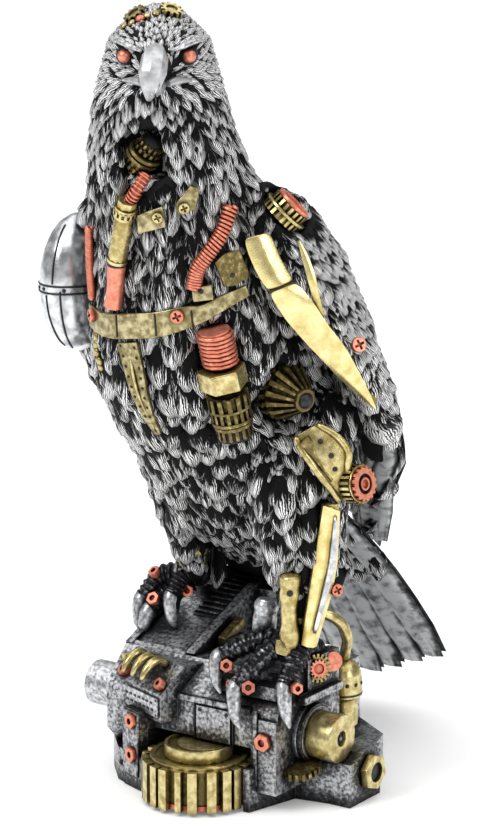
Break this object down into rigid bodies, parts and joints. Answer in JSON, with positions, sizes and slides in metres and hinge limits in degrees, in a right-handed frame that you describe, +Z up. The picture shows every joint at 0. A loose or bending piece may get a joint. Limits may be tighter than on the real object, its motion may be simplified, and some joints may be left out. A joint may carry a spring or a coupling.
{
  "type": "steampunk eagle figurine",
  "caption": "Perched eagle figurine in blackened silver, its head turned, with brass and copper clockwork fittings, standing on an engine-shaped plinth with a spur gear.",
  "frame": {"origin": "on the floor under the middle of the figurine's bounding box", "axes": "+Z up, the bird's breast faces -Y, its tail trails towards +Y and its left side is +X"},
  "size_m": [0.1128, 0.1526, 0.2537],
  "materials": {
    "aged_silver": "blackened silver paint, dry-brushed bright on the raised edges",
    "bright_silver": "bright silver paint, lightly aged in the seams",
    "antique_brass": "antique brass paint with dark recesses",
    "copper_rose": "rose copper paint with dark recesses",
    "black_recess": "black, satin"
  },
  "bodies": {
    "root": {"plinth": "aged_silver", "eagle": "aged_silver", "right_wing_armour": "bright_silver", "shank_cylinder": "bright_silver", "eye_left": "copper_rose", "eye_right": "copper_rose", "throat_hose": "copper_rose", "throat_pipe": "copper_rose", "shoulder_hose": "copper_rose", "plug_coil": "copper_rose", "shoulder_gear_cap": "copper_rose", "knee_gear": "copper_rose", "hip_gear_hub": "black_recess", "crown_gear_front": "antique_brass", "crown_gear_top": "antique_brass", "throat_gear": "antique_brass", "throat_sleeve": "antique_brass", "neck_plate_front": "antique_brass", "neck_plate_side": "antique_brass", "shoulder_hose_fitting": "antique_brass", "chest_plate": "antique_brass", "chest_belt": "antique_brass", "keel_blade": "antique_brass", "plug_nut": "antique_brass", "plug_body": "antique_brass", "hip_bevel_gear": "antique_brass", "wing_bone_blade": "antique_brass", "wing_bone_cup": "antique_brass", "wing_bone_spur": "antique_brass", "shoulder_gear": "antique_brass", "thigh_link": "antique_brass", "knee_gear_ring": "antique_brass", "shank_rod": "antique_brass", "shank_piston": "antique_brass", "spur_gear": "antique_brass", "engine_end_cap": "antique_brass", "footing_nut": "antique_brass", "tank": "antique_brass", "gearbox_hook_1": "antique_brass", "gearbox_hook_2": "antique_brass", "gearbox_hook_3": "antique_brass"}
  },
  "joints": []
}
